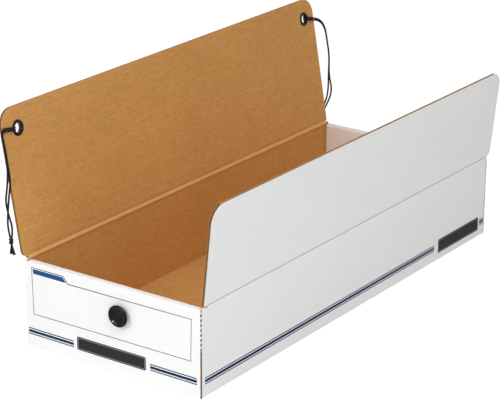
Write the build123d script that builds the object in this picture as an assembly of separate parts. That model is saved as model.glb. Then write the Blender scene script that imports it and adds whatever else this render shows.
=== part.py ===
from build123d import *
import math
import os

# A long corrugated storage box with two lid flaps hinged on its long sides.
# Millimetres. X runs across the box, Y from the front end to the rear end,
# Z up. The origin is at the centre of the underside of the bottom panel.

# Driving dimensions of the tray
WIDTH = 242.4
LENGTH = 610.0
END_HEIGHT = 102.6
BOARD = 3.0
GAP = 0.3
FOLD_RADIUS = 2.0
CREASE_RELIEF = 2.8
SIDE_PLAY = 1.0

# Lid flaps
LEFT_FLAP_WIDTH = 166.6
RIGHT_FLAP_WIDTH = 114.2
LEFT_LEAN = 10.02
RIGHT_LEAN = 5.9
FLAP_OVERHANG = 4.6
FLAP_SETBACK = 6.5
FREE_CORNER_RADIUS = 20.0
OVERHANG_CORNER_RADIUS = 7.5
SETBACK_CORNER_RADIUS = 3.0

# Rolled-over ends
CORNER_FLAP_CLEARANCE = 6.1
TAB_WIDTH = 70.0
FOOT_RELIEF = 0.8

# Closure buttons
BUTTON_OFFSET = 14.1
BUTTON_HEIGHT = 71.0
BUTTON_RADIUS = 12.6
BUTTON_THICKNESS = 3.0
BUTTON_DISH = 1.5
BUTTON_LIP = 2.3
BUTTON_STANDOFF = 3.4
POST_RADIUS = 4.5
SHANK_RADIUS = 3.0
SHANK_PLAY = 0.15
BACKING_RADIUS = 10.0
BACKING_THICKNESS = 1.8

# Eyelets in the left flap
EYELET_REACH = 141.5
FRONT_EYELET_INSET = 25.8
REAR_EYELET_INSET = 21.5
EYELET_HOLE_RADIUS = 5.6
EYELET_WALL = 0.65
EYELET_RIM_RADIUS = 9.2
EYELET_RIM_HEIGHT = 1.2
EYELET_ROUND = 0.9
EYELET_PLAY = 0.05
WASHER_RADIUS = 8.6
WASHER_HEIGHT = 0.9

# Closure cords
CORD_DIAMETER = 2.2
STRAND_PITCH = 2.6
CORD_LIFT_AT_EDGE = 0.35
CORD_LIFT_AT_EYELET = 1.75
CORD_FROM_EYELET_CENTRE = 3.9
HITCH_START = 3.0
BIGHT_END = 1.6
FRONT_CORD_RISE = 2.8
REAR_CORD_RISE = -3.8
HITCH_RADIUS = 1.4
BIGHT_RADIUS = 1.25
KNOT_RADIUS = 3.6
TAIL_DIAMETER = 2.0
RUN_SHARE = 0.45

# Places worked out from the sizes above
HALF_WIDTH = WIDTH / 2
HALF_LENGTH = LENGTH / 2
CORD_RADIUS = CORD_DIAMETER / 2
RIGHT_CREASE_HEIGHT = END_HEIGHT + GAP + BOARD / 2
LEFT_CREASE_HEIGHT = RIGHT_CREASE_HEIGHT + BOARD + GAP
CREASE_X = HALF_WIDTH - BOARD / 2
LEFT_WALL_TOP = LEFT_CREASE_HEIGHT - BOARD / 2 - GAP
RIGHT_WALL_TOP = RIGHT_CREASE_HEIGHT - BOARD / 2 - GAP
INNER_X = HALF_WIDTH - BOARD
END_DEPTH = 3 * BOARD
PLY_HEIGHT = END_HEIGHT - BOARD
STRIP_HALF = INNER_X - SIDE_PLAY
LEFT_FLAP_FRONT = -HALF_LENGTH - FLAP_OVERHANG
LEFT_FLAP_REAR = HALF_LENGTH - FLAP_SETBACK
RIGHT_FLAP_FRONT = -HALF_LENGTH + FLAP_SETBACK
RIGHT_FLAP_REAR = HALF_LENGTH + FLAP_OVERHANG
LEFT_CREASE = Pos(-CREASE_X, 0, LEFT_CREASE_HEIGHT) * Rot(0, -LEFT_LEAN, 0)
RIGHT_CREASE = Pos(CREASE_X, 0, RIGHT_CREASE_HEIGHT) * Rot(0, RIGHT_LEAN, 0)

# Routes of the free strands, from just past the flap's edge down to the knot
FRONT_STRAND_A = [
    (-141.6, -313.8, 251.0),
    (-137.4, -313.8, 236.0),
    (-132.6, -313.8, 210.0),
    (-134.8, -313.8, 187.0),
    (-138.1, -313.8, 171.0),
    (-134.2, -313.8, 156.0),
    (-128.3, -313.8, 141.0),
    (-131.6, -313.2, 127.6),
]
FRONT_STRAND_B = [
    (-142.6, -311.2, 249.0),
    (-138.6, -311.2, 234.6),
    (-134.2, -311.2, 209.0),
    (-131.9, -311.2, 194.0),
    (-135.4, -311.2, 174.0),
    (-138.2, -311.2, 150.0),
    (-138.0, -311.2, 137.0),
    (-134.4, -311.9, 127.6),
]
FRONT_KNOT = (-132.9, -312.6, 125.0)
FRONT_TAILS = [(-133.6, -312.5, 109.8), (-129.0, -312.5, 109.4)]
REAR_STRAND_A = [
    (-140.9, 311.4, 240.9),
    (-133.4, 313.9, 229.4),
    (-130.9, 315.0, 212.0),
    (-129.6, 319.2, 190.0),
    (-129.0, 317.6, 165.0),
    (-128.4, 326.0, 141.0),
    (-131.6, 319.4, 123.0),
    (-135.0, 316.2, 115.2),
]
REAR_STRAND_B = [
    (-143.4, 313.5, 238.5),
    (-134.9, 315.8, 228.2),
    (-132.3, 317.0, 211.0),
    (-131.0, 321.2, 189.0),
    (-131.4, 320.6, 165.5),
    (-132.6, 322.6, 141.0),
    (-134.9, 320.2, 124.5),
    (-138.3, 316.6, 115.2),
]
REAR_KNOT = (-136.5, 315.0, 112.5)
REAR_TAILS = [(-137.2, 313.6, 97.4), (-133.9, 317.0, 98.2)]

os.makedirs("parts", exist_ok=True)


def save(node, shape):
    export_step(shape, f"parts/{node}.step")


def slab(x_low, x_high, y_low, y_high, z_low, z_high):
    size = (x_high - x_low, y_high - y_low, z_high - z_low)
    centre = ((x_low + x_high) / 2, (y_low + y_high) / 2, (z_low + z_high) / 2)
    return Pos(*centre) * Box(*size)


def edges_at(shape, axis, first, second):
    """Edges of a shape along an axis, at two coordinates across it."""
    others = [a for a in (Axis.X, Axis.Y, Axis.Z) if a != axis]
    near = shape.edges().filter_by(axis)
    near = near.filter_by_position(others[0], first - 0.01, first + 0.01)
    return near.filter_by_position(others[1], second - 0.01, second + 0.01)


# ---- Tray panels ----


def bottom_panel():
    rear_y = HALF_LENGTH - BOARD
    panel = slab(-INNER_X, INNER_X, -rear_y, rear_y, 0, BOARD)
    half_slot = TAB_WIDTH / 2 + GAP
    slot_out = HALF_LENGTH - 2 * BOARD + GAP
    slot_in = HALF_LENGTH - END_DEPTH - GAP
    panel -= slab(-half_slot, half_slot, slot_in, slot_out, -1, BOARD + 1)
    panel -= slab(-half_slot, half_slot, -slot_out, -slot_in, -1, BOARD + 1)
    return panel


def side_wall(top):
    """The left wall: x negative, its top relieved outside for the flap to swing down."""
    end_y = HALF_LENGTH - BOARD
    wall = slab(-HALF_WIDTH, -INNER_X, -end_y, end_y, 0, top)
    wall = fillet(edges_at(wall, Axis.Y, -HALF_WIDTH, top), CREASE_RELIEF)
    return fillet(edges_at(wall, Axis.Y, -HALF_WIDTH, 0), FOLD_RADIUS)


def outer_end_panel(button_x, fold_top):
    """The front outer panel: folded from the left wall, cut edge at the right."""
    rear_y = -HALF_LENGTH + BOARD
    panel = slab(-HALF_WIDTH, HALF_WIDTH, -HALF_LENGTH, rear_y, 0, END_HEIGHT)
    if fold_top > END_HEIGHT:
        fold_in = -STRIP_HALF - GAP
        panel += slab(-HALF_WIDTH, fold_in, -HALF_LENGTH, rear_y, 50, fold_top)
    panel = fillet(edges_at(panel, Axis.Z, -HALF_WIDTH, -HALF_LENGTH), FOLD_RADIUS)
    shoulder = panel.edges().filter_by(Axis.Y).group_by(Axis.Z)[-1].sort_by(Axis.X)[0]
    panel = fillet(shoulder, CREASE_RELIEF)
    strip_half = STRIP_HALF + GAP
    top = fold_top + 1
    panel -= slab(-strip_half, strip_half, -HALF_LENGTH - 1, rear_y, PLY_HEIGHT, top)
    for side in (-1, 1):
        inner = side * TAB_WIDTH / 2
        outer = side * (HALF_WIDTH + 1)
        low, high = sorted((inner, outer))
        panel -= slab(low, high, -HALF_LENGTH - 1, rear_y, -1, FOOT_RELIEF)
    hole = Cylinder(SHANK_RADIUS + SHANK_PLAY, 4 * BOARD, rotation=(90, 0, 0))
    return panel - Pos(button_x, -HALF_LENGTH, BUTTON_HEIGHT) * hole


def corner_flap():
    """The middle ply at the front: folded in from the right wall, short of the button."""
    low_x = BUTTON_OFFSET + BACKING_RADIUS + CORNER_FLAP_CLEARANCE
    low_y = -HALF_LENGTH + BOARD
    return slab(low_x, INNER_X, low_y, low_y + BOARD, BOARD, PLY_HEIGHT)


def top_strip():
    strip = slab(
        -STRIP_HALF,
        STRIP_HALF,
        -HALF_LENGTH,
        -HALF_LENGTH + END_DEPTH,
        PLY_HEIGHT,
        END_HEIGHT,
    )
    outer = edges_at(strip, Axis.X, -HALF_LENGTH, END_HEIGHT)
    inner = edges_at(strip, Axis.X, -HALF_LENGTH + END_DEPTH, END_HEIGHT)
    return fillet(outer + inner, FOLD_RADIUS)


def inner_end_panel():
    low_y = -HALF_LENGTH + 2 * BOARD
    high_y = low_y + BOARD
    panel = slab(-STRIP_HALF, STRIP_HALF, low_y, high_y, BOARD, PLY_HEIGHT)
    half_tab = TAB_WIDTH / 2
    return panel + slab(-half_tab, half_tab, low_y, high_y, GAP, BOARD)


# ---- Lid flaps, drawn upright on their crease axis ----


def crease_corner_radius(end):
    """The rounding beside the crease of a flap's end at this Y."""
    return OVERHANG_CORNER_RADIUS if abs(end) > HALF_LENGTH else SETBACK_CORNER_RADIUS


def lid_flap(width, front, rear):
    """A flap board whose lower edge is rounded about the crease axis."""
    outline = Plane.YZ * Pos((front + rear) / 2, width / 2) * Rectangle(
        rear - front, width
    )
    high = outline.vertices().group_by(Axis.Z)[-1]
    outline = fillet(high, FREE_CORNER_RADIUS)
    radii = {end: crease_corner_radius(end) for end in (front, rear)}
    for end, radius in radii.items():
        low = outline.vertices().group_by(Axis.Z)[0]
        outline = fillet(low.sort_by(lambda v: abs(v.Y - end))[0], radius)
    board = extrude(outline, amount=BOARD / 2, dir=(1, 0, 0), both=True)
    bead_front, bead_rear = front + radii[front], rear - radii[rear]
    bead = Cylinder(BOARD / 2, bead_rear - bead_front, rotation=(90, 0, 0))
    return board + Pos(0, (bead_front + bead_rear) / 2, 0) * bead


# ---- Eyelets, drawn along +X towards the inside of the flap ----


def eyelet():
    """Barrel and rounded rim, turned about the X axis."""
    half = BOARD / 2
    barrel_radius = EYELET_HOLE_RADIUS + EYELET_WALL
    outline = make_face(
        Polyline(
            (-half - WASHER_HEIGHT, EYELET_HOLE_RADIUS),
            (half + EYELET_RIM_HEIGHT, EYELET_HOLE_RADIUS),
            (half + EYELET_RIM_HEIGHT, EYELET_RIM_RADIUS),
            (half, EYELET_RIM_RADIUS),
            (half, barrel_radius),
            (-half - WASHER_HEIGHT, barrel_radius),
            close=True,
        )
    )
    top = outline.vertices().group_by(Axis.X)[-1]
    outline = fillet(top, EYELET_ROUND)
    return revolve(outline, Axis.X)


def eyelet_washer():
    half = BOARD / 2
    bore = EYELET_HOLE_RADIUS + EYELET_WALL + EYELET_PLAY
    outline = make_face(
        Polyline(
            (-half, bore),
            (-half, WASHER_RADIUS),
            (-half - WASHER_HEIGHT, WASHER_RADIUS),
            (-half - WASHER_HEIGHT, bore),
            close=True,
        )
    )
    low = outline.vertices().group_by(Axis.X)[0].sort_by(Axis.Y)[-1]
    outline = fillet(low, WASHER_HEIGHT / 2)
    return revolve(outline, Axis.X)


# ---- Buttons, turned about the Y axis; -Y is outwards ----


def button_cap():
    """A dished disc with a raised lip, at y = 0 behind and -y in front."""
    disc = Cylinder(BUTTON_RADIUS, BUTTON_THICKNESS, rotation=(90, 0, 0))
    disc = fillet(disc.edges().group_by(Axis.Y)[0], 0.4 * BUTTON_THICKNESS)
    disc = fillet(disc.edges().group_by(Axis.Y)[-1], 0.2 * BUTTON_THICKNESS)
    dish_radius = BUTTON_RADIUS - BUTTON_LIP
    ball_radius = (dish_radius**2 + BUTTON_DISH**2) / (2 * BUTTON_DISH)
    ball = Pos(0, -BUTTON_THICKNESS / 2 + BUTTON_DISH - ball_radius, 0)
    disc -= ball * Sphere(ball_radius)
    return Pos(0, -BUTTON_THICKNESS / 2, 0) * disc


def button_post():
    """Neck between cap and panel, and the shank through the panel."""
    neck = Cylinder(POST_RADIUS, BUTTON_STANDOFF, rotation=(90, 0, 0))
    shank_length = BOARD + BACKING_THICKNESS
    shank = Cylinder(SHANK_RADIUS, shank_length, rotation=(90, 0, 0))
    return Pos(0, -BUTTON_STANDOFF / 2, 0) * neck + Pos(0, shank_length / 2, 0) * shank


def button_backing():
    disc = Cylinder(BACKING_RADIUS, BACKING_THICKNESS, rotation=(90, 0, 0))
    disc = fillet(disc.edges().group_by(Axis.Y)[-1], 0.3 * BACKING_THICKNESS)
    bore = Cylinder(SHANK_RADIUS, 2 * BACKING_THICKNESS, rotation=(90, 0, 0))
    return disc - bore


# ---- Closure cords ----


def to_row(place, x, y, z):
    return tuple((place * Pos(x, y, z)).position)


def corner_radii(points):
    """The largest arcs that the runs either side of each corner allow."""
    radii = []
    for before, here, after in zip(points, points[1:], points[2:]):
        first, second = Vector(*here) - Vector(*before), Vector(*after) - Vector(*here)
        turn = math.radians(first.get_angle(second))
        run = min(first.length, second.length)
        radii.append(RUN_SHARE * run / math.tan(turn / 2))
    return radii


def tube(name, points, radii, diameter):
    path = FilletPolyline(*points, radius=radii)
    solid = sweep((path ^ 0) * Circle(diameter / 2), path)
    section = math.pi * diameter**2 / 4
    print(
        name,
        "length",
        round(path.length, 1),
        "radii",
        [round(r, 1) for r in radii],
        "volume ratio",
        round(solid.volume / (section * path.length), 4),
    )
    return solid


def hitch(name, edge_y, outwards, inset, rise):
    """The doubled cord round the strip between an eyelet and the flap's edge."""
    at_edge = BOARD / 2 + CORD_RADIUS + CORD_LIFT_AT_EDGE
    at_eyelet = BOARD / 2 + CORD_RADIUS + CORD_LIFT_AT_EYELET
    half = STRAND_PITCH / 2
    start = edge_y - outwards * HITCH_START
    hole = edge_y - outwards * (inset - CORD_FROM_EYELET_CENTRE)
    bight = edge_y - outwards * BIGHT_END
    line = [
        (at_edge, start, rise),
        (at_eyelet, hole, 0),
        (-at_eyelet, hole, 0),
        (-at_edge, bight, rise),
    ]
    upper = [(x, y, EYELET_REACH + z + half) for x, y, z in line]
    lower = [(x, y, EYELET_REACH + z - half) for x, y, z in reversed(line)]
    points = upper + lower
    turns = [HITCH_RADIUS, HITCH_RADIUS, BIGHT_RADIUS]
    return tube(name, points, turns + turns[::-1], CORD_DIAMETER)


def strand(name, edge_y, outwards, rise, side, route):
    at_edge = BOARD / 2 + CORD_RADIUS + CORD_LIFT_AT_EDGE
    start_z = EYELET_REACH + rise + side * STRAND_PITCH / 2
    start = to_row(LEFT_CREASE, at_edge, edge_y - outwards * HITCH_START, start_z)
    points = [start, *route]
    return tube(name, points, corner_radii(points), CORD_DIAMETER)


def knot(centre, tails):
    """The joining knot with the cord's two short tails."""
    shape = Pos(*centre) * Sphere(KNOT_RADIUS)
    for tip in tails:
        line = Line(centre, tip)
        shape += sweep((line ^ 0) * Circle(TAIL_DIAMETER / 2), line)
    return shape


# ---- Assembly ----

save("bottom_panel", bottom_panel())
save("left_side_wall", side_wall(LEFT_WALL_TOP))
right_wall = side_wall(RIGHT_WALL_TOP)
save("right_side_wall", mirror(right_wall, Plane.YZ))

# The rear end is the front end turned half a turn about Z. Its button is the
# front one mirrored, so that both line up with the eyelets of the closed lid.
HALF_TURN = Rot(0, 0, 180)
save("front_outer_panel", outer_end_panel(BUTTON_OFFSET, LEFT_WALL_TOP))
save("front_corner_flap", corner_flap())
save("front_top_strip", top_strip())
save("front_inner_panel", inner_end_panel())
rear_panel = outer_end_panel(-BUTTON_OFFSET, RIGHT_WALL_TOP)
save("rear_outer_panel", HALF_TURN * rear_panel)
save("rear_corner_flap", HALF_TURN * corner_flap())
save("rear_top_strip", HALF_TURN * top_strip())
save("rear_inner_panel", HALF_TURN * inner_end_panel())

left_flap = lid_flap(LEFT_FLAP_WIDTH, LEFT_FLAP_FRONT, LEFT_FLAP_REAR)
front_eyelet_y = LEFT_FLAP_FRONT + FRONT_EYELET_INSET
rear_eyelet_y = LEFT_FLAP_REAR - REAR_EYELET_INSET
flap_hole = Cylinder(
    EYELET_HOLE_RADIUS + EYELET_WALL + EYELET_PLAY, 2 * BOARD, rotation=(0, 90, 0)
)
for eyelet_y in (front_eyelet_y, rear_eyelet_y):
    left_flap -= Pos(0, eyelet_y, EYELET_REACH) * flap_hole
save("left_lid_flap", LEFT_CREASE * left_flap)
right_flap = lid_flap(RIGHT_FLAP_WIDTH, RIGHT_FLAP_FRONT, RIGHT_FLAP_REAR)
save("right_lid_flap", RIGHT_CREASE * right_flap)

for end, eyelet_y in (("front", front_eyelet_y), ("rear", rear_eyelet_y)):
    place = LEFT_CREASE * Pos(0, eyelet_y, EYELET_REACH)
    save(f"{end}_eyelet", place * eyelet())
    save(f"{end}_eyelet_washer", place * eyelet_washer())

for end, side in (("front", 1), ("rear", -1)):
    turn = Rot(0, 0, 0) if side > 0 else HALF_TURN
    face = turn * Pos(side * BUTTON_OFFSET, -HALF_LENGTH, BUTTON_HEIGHT)
    save(f"{end}_button_cap", face * Pos(0, -BUTTON_STANDOFF, 0) * button_cap())
    save(f"{end}_button_post", face * button_post())
    backing = Pos(0, BOARD + BACKING_THICKNESS / 2, 0) * button_backing()
    save(f"{end}_button_backing", face * backing)

cords = (
    (
        "front",
        LEFT_FLAP_FRONT,
        -1,
        FRONT_EYELET_INSET,
        FRONT_CORD_RISE,
        FRONT_STRAND_A,
        FRONT_STRAND_B,
        FRONT_KNOT,
        FRONT_TAILS,
    ),
    (
        "rear",
        LEFT_FLAP_REAR,
        1,
        REAR_EYELET_INSET,
        REAR_CORD_RISE,
        REAR_STRAND_A,
        REAR_STRAND_B,
        REAR_KNOT,
        REAR_TAILS,
    ),
)
for end, edge_y, outwards, inset, rise, route_a, route_b, knot_at, tails in cords:
    name = f"{end}_cord"
    caught = hitch(f"{name}_hitch", edge_y, outwards, inset, rise)
    save(f"{name}_hitch", LEFT_CREASE * caught)
    strand_a = strand(f"{name}_strand_a", edge_y, outwards, rise, 1, route_a)
    save(f"{name}_strand_a", strand_a)
    strand_b = strand(f"{name}_strand_b", edge_y, outwards, rise, -1, route_b)
    save(f"{name}_strand_b", strand_b)
    save(f"{name}_knot", knot(knot_at, tails))
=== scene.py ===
"""A long corrugated storage box with two open lid flaps, two closure buttons
and two closure cords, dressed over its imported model.

Metres. X runs across the box, Y from the front end to the rear end, Z up.
"""

import logging
import math
from dataclasses import dataclass, field
from enum import Enum
from typing import Callable, Mapping, Sequence

import bmesh
import bpy
from bmesh.types import BMesh, BMFace, BMVert
from bpy.types import Material, NodeSocket, Object
from mathutils import Matrix, Vector, noise

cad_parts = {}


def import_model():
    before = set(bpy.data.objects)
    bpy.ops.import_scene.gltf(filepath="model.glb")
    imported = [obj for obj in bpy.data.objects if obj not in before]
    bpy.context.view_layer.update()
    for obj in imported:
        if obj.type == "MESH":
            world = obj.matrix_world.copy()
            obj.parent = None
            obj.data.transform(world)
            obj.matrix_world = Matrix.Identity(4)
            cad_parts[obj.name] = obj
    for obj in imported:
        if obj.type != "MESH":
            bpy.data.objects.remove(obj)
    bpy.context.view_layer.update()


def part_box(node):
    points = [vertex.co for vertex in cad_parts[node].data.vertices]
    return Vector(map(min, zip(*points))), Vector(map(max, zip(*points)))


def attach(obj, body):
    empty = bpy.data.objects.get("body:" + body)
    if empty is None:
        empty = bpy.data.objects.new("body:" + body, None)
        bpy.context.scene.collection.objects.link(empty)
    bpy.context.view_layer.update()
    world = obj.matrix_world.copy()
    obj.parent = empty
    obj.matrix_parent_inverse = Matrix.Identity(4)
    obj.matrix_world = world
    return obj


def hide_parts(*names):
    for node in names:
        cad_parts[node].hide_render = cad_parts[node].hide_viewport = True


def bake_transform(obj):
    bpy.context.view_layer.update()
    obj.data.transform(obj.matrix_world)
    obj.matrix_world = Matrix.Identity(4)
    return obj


log = logging.getLogger("storage_box")

MM = 0.001
Flat = tuple[float, float]
Place = tuple[float, float, float]
Value = NodeSocket | float | Place

# Sizes shared by the boards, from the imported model
BOARD = 3.0 * MM
HALF_WIDTH = 121.2 * MM
HALF_LENGTH = 305.0 * MM
END_HEIGHT = 102.6 * MM
PLY_HEIGHT = 99.6 * MM
CREASE_X = 119.7 * MM
LEFT_CREASE_Z = 107.7 * MM
RIGHT_CREASE_Z = 104.4 * MM
CREASE_REACH = 6.0 * MM
FLUTE_PITCH = 5.6 * MM
FLUTE_RISE = 0.92 * MM
LINER = 0.38 * MM
CREASE_PLAY = 0.3 * MM  # Between the top of a wall and the crease above it
HAIR = 0.1 * MM  # The play allowed in picking out edges by their place
GOLDEN_TURN = 2.399  # The turn, in radians, that spreads threads evenly


class Slot(Enum):
    """The material slots' names, which no piece in this script uses."""

    BOARD = "corrugated_board"
    BUTTON = "button_plastic"
    EYELET = "eyelet_metal"
    CORD = "cord"


class Skin(Enum):
    """The surfaces of a board, in the order of a board piece's materials. The last two
    are painted light on the crease: painted shade in its outer score and a painted
    highlight on its inner bulge.
    """

    WHITE = 0
    KRAFT = 1
    FLUTED = 2
    PRESSED = 3
    CORE = 4
    # Painted shade: a grey line on the outside where the score sinks in.
    SCORE_SHADE = 5
    # Painted highlight: brighter kraft on the inside where the crease bulges towards the
    # light.
    BULGE_HIGHLIGHT = 6


class End(Enum):
    """The two ends of the box: the way out of each along Y."""

    FRONT = -1
    REAR = 1

    @property
    def word(self) -> str:
        """The end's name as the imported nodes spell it."""
        return self.name.lower()


class Side(Enum):
    """The two long sides of the box: the way out of each along X."""

    LEFT = -1
    RIGHT = 1

    @property
    def word(self) -> str:
        """The side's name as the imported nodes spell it."""
        return self.name.lower()


def facing(place: Place | Vector, way: Vector, axis: str) -> Matrix:
    """The turn and place that point an axis, such as Z or -Z, along a way."""
    turn = way.to_track_quat(axis, "Y").to_matrix().to_4x4()
    return Matrix.Translation(place) @ turn


# ---- Where a board lies ----


@dataclass(frozen=True)
class Lie:
    """Where a board lies. Its own u runs across the flutes, v along them, and
    w out of its printed face, from a point in its middle plane.

    Args:
        origin: The point where u, v and w are 0, in the row frame.
        across: The way u runs.
        outside: The way w runs.
    """

    origin: Place
    across: Place
    outside: Place

    def matrix(self) -> Matrix:
        """Finds the turn and place of the board.

        Returns:
            What turns the board's own places into the row frame.
        """
        across, outside = Vector(self.across), Vector(self.outside)
        across.normalize()
        outside.normalize()
        turn = Matrix((across, outside.cross(across), outside)).transposed()
        return Matrix.Translation(self.origin) @ turn.to_4x4()

    def point(self, u: float, v: float, w: float = 0.0) -> Vector:
        """A place on the board, in the row frame."""
        return self.matrix() @ Vector((u, v, w))


# ---- Node trees ----


class Tree:
    """A material whose nodes are added from the pattern to the shader.

    Args:
        name: The material's name.
    """

    def __init__(self, name: str) -> None:
        """Starts an empty tree."""
        self.material = bpy.data.materials.new(name)
        self.material.use_nodes = True
        self.nodes = self.material.node_tree.nodes
        self.links = self.material.node_tree.links
        self.nodes.clear()

    def feed(self, socket: NodeSocket, value: Value) -> None:
        """Links a socket to an output, or sets it to a number or a colour.

        Args:
            socket: The socket.
            value: The output, number or colour.
        """
        if isinstance(value, NodeSocket):
            self.links.new(value, socket)
        elif isinstance(value, tuple) and socket.type == "RGBA":
            socket.default_value = (*value, 1.0)
        else:
            socket.default_value = value

    def add(
        self, kind: str, inputs: Mapping[str | int, Value], **settings: object
    ) -> bpy.types.Node:
        """Adds a node.

        Args:
            kind: The node's type, without the word ShaderNode.
            inputs: What goes to its sockets, by their name or number.
            settings: The node's own options.

        Returns:
            The node.
        """
        node = self.nodes.new("ShaderNode" + kind)
        for key, value in settings.items():
            setattr(node, key, value)
        for key, value in inputs.items():
            self.feed(node.inputs[key], value)
        return node

    def calc(
        self, operation: str, first: Value, second: Value = 0.0, clamp: bool = False
    ) -> NodeSocket:
        """One step of arithmetic.

        Args:
            operation: The Math node's operation.
            first: Its first number.
            second: Its second number, if it takes one.
            clamp: Whether the result is kept in 0 to 1.

        Returns:
            The result.
        """
        inputs = {0: first, 1: second}
        return self.add("Math", inputs, operation=operation, use_clamp=clamp).outputs[0]

    def ramp(self, value: Value, low: float, high: float) -> NodeSocket:
        """0 below low, 1 above high, and smooth between them."""
        inputs = {0: value, 1: low, 2: high}
        node = self.add("MapRange", inputs, interpolation_type="SMOOTHSTEP")
        return node.outputs[0]

    def mix(self, share: Value, first: Value, second: Value) -> NodeSocket:
        """A colour between two colours."""
        inputs = {0: share, 6: first, 7: second}
        return self.add("Mix", inputs, data_type="RGBA").outputs[2]

    def grain(
        self, place: Value, scale: float, detail: float = 2.0, rough: float = 0.5,
        along: float | None = None,
    ) -> NodeSocket:
        """Noise from 0 to 1, mostly near 0.5.

        Args:
            place: Where it is read.
            scale: How fine it is, in turns a metre.
            detail: How many finer layers it has.
            rough: How strong those are.
            along: Its fineness along the flutes as a share of scale, if not all.

        Returns:
            The noise.
        """
        if along is not None:
            inputs = {0: place, 1: (1.0, along, 1.0)}
            place = self.add("VectorMath", inputs, operation="MULTIPLY").outputs[0]
        inputs = {"Vector": place, "Scale": scale, "Detail": detail, "Roughness": rough}
        return self.add("TexNoise", inputs).outputs[0]

    def flute_wave(self, u: Value, shape: str = "SINE") -> NodeSocket:
        """The flutes' wave across a board, from -1 to 1."""
        turns = self.calc("MULTIPLY", u, 2 * math.pi / FLUTE_PITCH)
        return self.calc(shape, turns)

    def raised(self, wave: Value) -> NodeSocket:
        """A wave from -1 to 1 brought to 0 to 1."""
        return self.calc("ADD", self.calc("MULTIPLY", wave, 0.5), 0.5)

    def total(self, start: float, terms: Sequence[tuple[Value, float]]) -> Value:
        """Adds weighted values up.

        Args:
            start: What they are added to.
            terms: Each value from 0 to 1, and the weight that its distance from a
                half is given.

        Returns:
            The sum, kept in 0 to 1.
        """
        value: Value = start
        for term, weight in terms:
            part = self.calc("MULTIPLY", self.calc("SUBTRACT", term, 0.5), weight)
            value = self.calc("ADD", value, part)
        return self.calc("ADD", value, 0.0, clamp=True)

    def spot(self) -> NodeSocket:
        """The place on a piece, on its Object coordinates."""
        return self.add("TexCoord", {}).outputs["Object"]

    def board_place(self, lie: Lie) -> tuple[Value, Value, Value, Value]:
        """The place on a board.

        Args:
            lie: Where the board lies.

        Returns:
            The place as a vector, and its u, v and w.
        """
        matrix = lie.matrix()
        inputs = {
            "Vector": self.spot(),
            "Location": tuple(matrix.translation), "Rotation": tuple(matrix.to_euler()),
        }
        place = self.add("Mapping", inputs, vector_type="TEXTURE").outputs[0]
        u, v, w = self.add("SeparateXYZ", {0: place}).outputs
        return place, u, v, w

    def finish(
        self, colour: Value, roughness: Value, bumps: Sequence[tuple[Value, float]] = (),
        gloss: float = 0.1, sheen: Flat | None = None,
    ) -> Material:
        """Ends the tree in a shader.

        Args:
            colour: The base colour.
            roughness: The roughness.
            bumps: Each height from 0 to 1, and how many metres 1 stands for.
            gloss: The specular level.
            sheen: The weight and roughness of the sheen, if it has one.

        Returns:
            The material.
        """
        shader = self.add("BsdfPrincipled", {"Base Color": colour})
        self.feed(shader.inputs["Roughness"], roughness)
        shader.inputs["Specular IOR Level"].default_value = gloss
        if sheen is not None:
            shader.inputs["Sheen Weight"].default_value = sheen[0]
            shader.inputs["Sheen Roughness"].default_value = sheen[1]
        normal = None
        for height, distance in bumps:
            inputs = {"Height": height, "Distance": distance, "Strength": 1.0}
            if normal is not None:
                inputs["Normal"] = normal
            normal = self.add("Bump", inputs).outputs[0]
        if normal is not None:
            self.feed(shader.inputs["Normal"], normal)
        output = self.add("OutputMaterial", {})
        self.links.new(shader.outputs[0], output.inputs[0])
        return self.material


# ---- Finishes ----


@dataclass(frozen=True)
class WhiteLiner:
    """The coated white paper outside, with the faint washboard of the flutes."""

    light: Place = (0.88, 0.88, 0.875)
    shade: Place = (0.80, 0.803, 0.80)
    scuff: Place = (0.62, 0.59, 0.55)
    roughness: float = 0.58

    def material(self, name: str, lie: Lie) -> Material:
        """Makes the finish.

        Args:
            name: The material's name.
            lie: Where the board lies.

        Returns:
            The material.
        """
        tree = Tree(name)
        place, u, _, _ = tree.board_place(lie)
        washboard = tree.raised(tree.flute_wave(u))
        cloud = tree.grain(place, 11.0, 3.0)
        streak = tree.grain(place, 190.0, 3.0, along=0.03)
        fibre = tree.grain(place, 1500.0, 3.0, 0.6, 0.3)
        share = tree.total(
            0.68, [(cloud, 0.5), (streak, 0.16), (fibre, 0.35), (washboard, 0.04)]
        )
        colour = tree.mix(share, self.shade, self.light)
        mark = tree.grain(place, 60.0, 6.0, 0.7, 0.25)
        mark = tree.calc("MULTIPLY", tree.ramp(mark, 0.70, 0.78), 0.35)
        colour = tree.mix(mark, colour, self.scuff)
        rough = tree.total(self.roughness, [(cloud, 0.14)])
        bumps = [(washboard, 0.018 * MM), (fibre, 0.03 * MM)]
        return tree.finish(colour, rough, bumps)


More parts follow.
